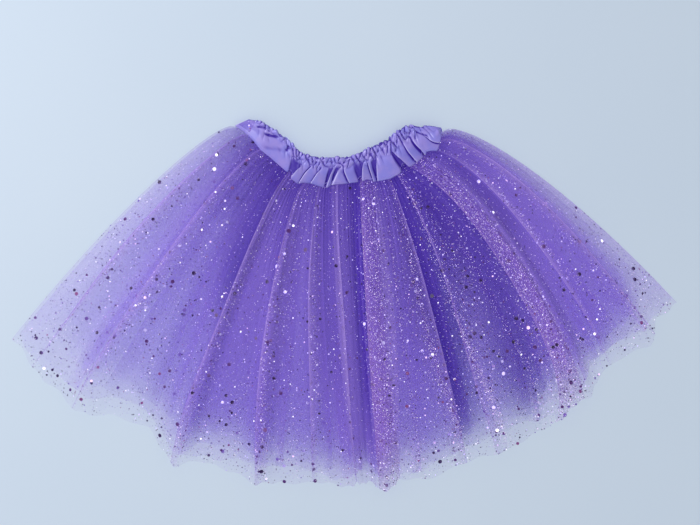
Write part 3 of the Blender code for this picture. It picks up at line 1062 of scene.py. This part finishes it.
def hollows(height, per_guide):
    """How far each point lies below its surroundings, for the shade in creases."""
    reach = per_guide // 3
    around = np.zeros_like(height)
    total = 0.0
    for row_shift in (-4, -2, 0, 2, 4):
        for column_shift in range(-reach, reach + 1, 2):
            moved = np.roll(np.roll(height, row_shift, 0), column_shift, 1)
            around = around + moved
            total = total + 1.0
    return np.clip((around / total - height) / 1.1, 0.0, 1.0)


def plan_of(kind, index):
    return np.stack([COLUMN[kind + "_x"][index], COLUMN[kind + "_y"][index]], -1)


# One row for each row of stitches: how high up the casing it runs and how much it wanders.
STITCH_ROWS = [(0.07, 0.0), (ELASTIC_SHARE, 1.0)]


def stitch_path(name, points, share, wander):
    """A line on the casing's outer face, a thread's thickness above it."""
    rows, columns = points.shape[:2]
    place = np.linspace(0.0, SPANS, columns)
    line = share + wander * (0.03 * np.sin(2.2 * place) + 0.02 * np.sin(5.1 * place))
    row = np.round(line * (rows - 1)).astype(int)
    path = points[row, np.arange(columns)].copy()
    around = [np.roll(path[:, 2], shift) for shift in range(-3, 4)]
    path[:, 2] = np.max(around, axis=0) + 0.0001
    path = path[8:-8]
    mesh = bpy.data.meshes.new(name)
    mesh.from_pydata(path.tolist(), [(index, index + 1) for index in range(len(path) - 1)], [])
    source = bpy.data.objects.new(name, mesh)
    bpy.context.scene.collection.objects.link(source)
    return source


def sew(name, points, share, wander, material):
    """A row of short stitches with small gaps between them."""
    source = stitch_path(name + "_path", points, share, wander)
    growth = Growth(name)
    growth.size("Stitch spacing", "NodeSocketFloat", 0.0032)
    growth.size("Stitch length", "NodeSocketFloat", 0.0023)
    growth.size("Thread radius", "NodeSocketFloat", 0.00017)
    given = growth.start()
    node = growth.node
    curve = node("GeometryNodeMeshToCurve", {}, {"Mesh": given["Source"]})
    points_on = node(
        "GeometryNodeCurveToPoints", {"mode": "LENGTH"},
        {"Curve": curve.outputs[0], "Length": given["Stitch spacing"]},
    )
    stitch = node(
        "GeometryNodeMeshCylinder", {"fill_type": "NGON"},
        {"Vertices": 6, "Radius": given["Thread radius"], "Depth": given["Stitch length"]},
    )
    placed = node(
        "GeometryNodeInstanceOnPoints", {},
        {
            "Points": points_on.outputs["Points"],
            "Instance": stitch.outputs["Mesh"],
            "Rotation": points_on.outputs["Rotation"],
        },
    )
    piece = growth.finish(placed.outputs[0], material, source, name)
    bpy.data.objects.remove(source)
    return piece


def make_camera():
    """Straight above the skirt, as far as shows 651 mm of the floor across the picture."""
    lens = 50.0
    sensor = 36.0
    width = 0.651
    data = bpy.data.cameras.new("camera")
    data.lens = lens
    data.sensor_width = sensor
    camera = bpy.data.objects.new("camera", data)
    camera.location = (0.006, 0.0386, width * lens / sensor)
    bpy.context.scene.collection.objects.link(camera)
    bpy.context.scene.camera = camera


def make_floor():
    finish = Finish("pale_floor", Roughness=0.9)
    shade = finish.noise(finish.coordinates(), 3.0)
    finish.out(Base_Color=finish.blend(shade, (0.59, 0.68, 0.78), (0.65, 0.73, 0.81)))
    mesh = bpy.data.meshes.new("floor")
    reach = 3.0
    corners = [(-reach, -reach, 0.0), (reach, -reach, 0.0), (reach, reach, 0.0), (-reach, reach, 0.0)]
    mesh.from_pydata(corners, [], [(0, 1, 2, 3)])
    mesh.materials.append(finish.material)
    floor = bpy.data.objects.new("floor", mesh)
    bpy.context.scene.collection.objects.link(floor)


def add_lamp(name, place, aim, size, power, colour):
    data = bpy.data.lights.new(name, "AREA")
    data.shape = "SQUARE"
    data.size = size
    data.energy = power
    data.color = colour
    lamp = bpy.data.objects.new(name, data)
    lamp.location = place
    away = np.array(place) - np.array(aim)
    flat = math.hypot(away[0], away[1])
    lamp.rotation_euler = (0.0, math.atan2(flat, away[2]), math.atan2(away[1], away[0]))
    bpy.context.scene.collection.objects.link(lamp)


def make_light():
    world = bpy.data.worlds.new("soft_room")
    world.use_nodes = True
    world.node_tree.nodes["Background"].inputs["Color"].default_value = (0.88, 0.93, 1.0, 1.0)
    world.node_tree.nodes["Background"].inputs["Strength"].default_value = 0.48
    bpy.context.scene.world = world
    centre = (0.0, 0.0, 0.0)
    add_lamp("window", (-1.35, 0.70, 1.45), centre, 0.80, 26.5, (0.97, 0.97, 1.0))
    add_lamp("fill", (0.9, -0.5, 1.3), centre, 1.2, 4.0, (0.95, 0.97, 1.0))
    scene = bpy.context.scene
    scene.view_settings.view_transform = "Standard"
    scene.cycles.transparent_max_bounces = 40


def make_tulle():
    plain = plain_net_material()
    glitter = glitter_net_material()
    foils = {
        True: flake_material("bright_foil", BRIGHT_STOPS, 0.75),
        False: flake_material("dark_foil", DARK_STOPS, 0.1),
    }
    for half in HALVES:
        front_glitter = half.node == "glitter_tulle_front"
        tucks = FRONT_TUCKS if front_glitter else random_tucks(half)
        points, cloth, values = half_points(half, tucks)
        is_glitter = half.node.startswith("glitter")
        sheet = grid_mesh(half.node + "_net", points, cloth, values)
        sheet.data.materials.append(glitter if is_glitter else plain)
        on_it = []
        for kind in FLAKES if is_glitter else []:
            thinned = 1.0 if front_glitter else 0.35
            name = half.node + "_" + kind.title
            seed = half.seed + 7 * kind.seed
            on_it.append(scatter_flakes(sheet, name, kind, thinned, seed, foils[kind.bright]))
        for piece in [sheet, *on_it]:
            piece.visible_shadow = False
            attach(piece, "root")
        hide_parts(half.node)
        below = ["floor"] if half.level == 0 else [HALVES[half.level - 1].node + "_net"]
        flat = (HALF_WIDTH, SKIRT_LENGTH * half.hem)


def make_casing():
    satin = satin_material()
    thread = thread_material()
    for side, front in (("front", True), ("back", False)):
        face, cloth, values = casing_points(front)
        if front:
            sheet = casing_folded((face, cloth, values))
        else:
            turned = {title: value[:, ::-1] for title, value in values.items()}
            sheet = (face[:, ::-1], cloth[:, ::-1], turned)
        piece = grid_mesh("waistband_" + side + "_satin", *sheet)
        piece.data.materials.append(satin)
        sewn = []
        for number, (share, wander) in enumerate(STITCH_ROWS if front else []):
            sewn.append(sew("stitches_" + str(number + 1), face, share, wander, thread))
        for part in [piece, *sewn]:
            part.visible_shadow = False
            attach(part, "root")
        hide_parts("waistband_" + side)


make_camera()
make_floor()
make_light()
make_tulle()
make_casing()
